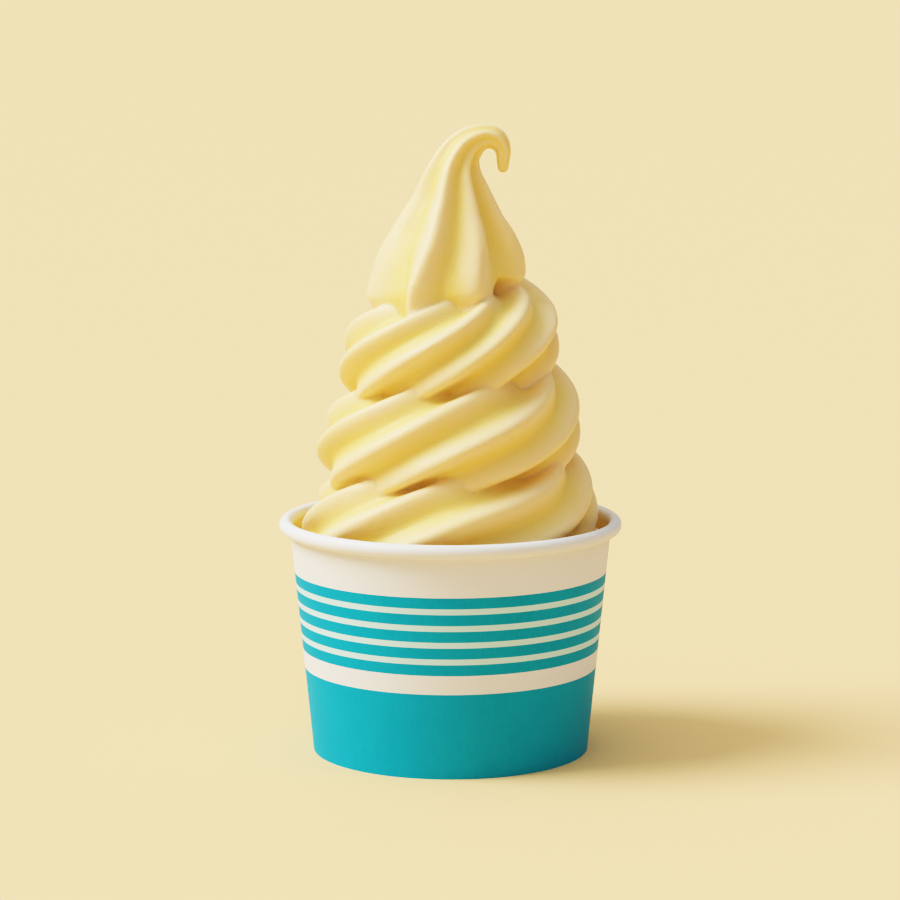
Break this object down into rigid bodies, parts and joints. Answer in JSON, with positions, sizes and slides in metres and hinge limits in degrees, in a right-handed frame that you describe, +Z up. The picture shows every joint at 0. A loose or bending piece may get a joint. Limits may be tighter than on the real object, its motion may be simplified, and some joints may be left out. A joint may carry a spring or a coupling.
{
  "type": "soft serve in a paper cup",
  "caption": "Pale yellow pineapple soft serve piped in a tall fluted swirl with a hooked tip, in a flared paper cup with a rolled rim and teal stripes.",
  "frame": {"origin": "middle of the cup's foot, on the surface that the cup stands on", "axes": "+Z up along the cup's axis; -Y is the front, and the hook at the tip curls over to +X"},
  "size_m": [0.096, 0.096, 0.1758],
  "materials": {
    "cup_white": "satin coated paper, printed with plain teal bands",
    "base_paper": "matte coated paper",
    "soft_serve": "smooth frozen dessert with a soft sheen"
  },
  "bodies": {
    "root": {"cup_wall": "cup_white", "cup_base": "base_paper", "soft_serve": "soft_serve"}
  },
  "joints": []
}
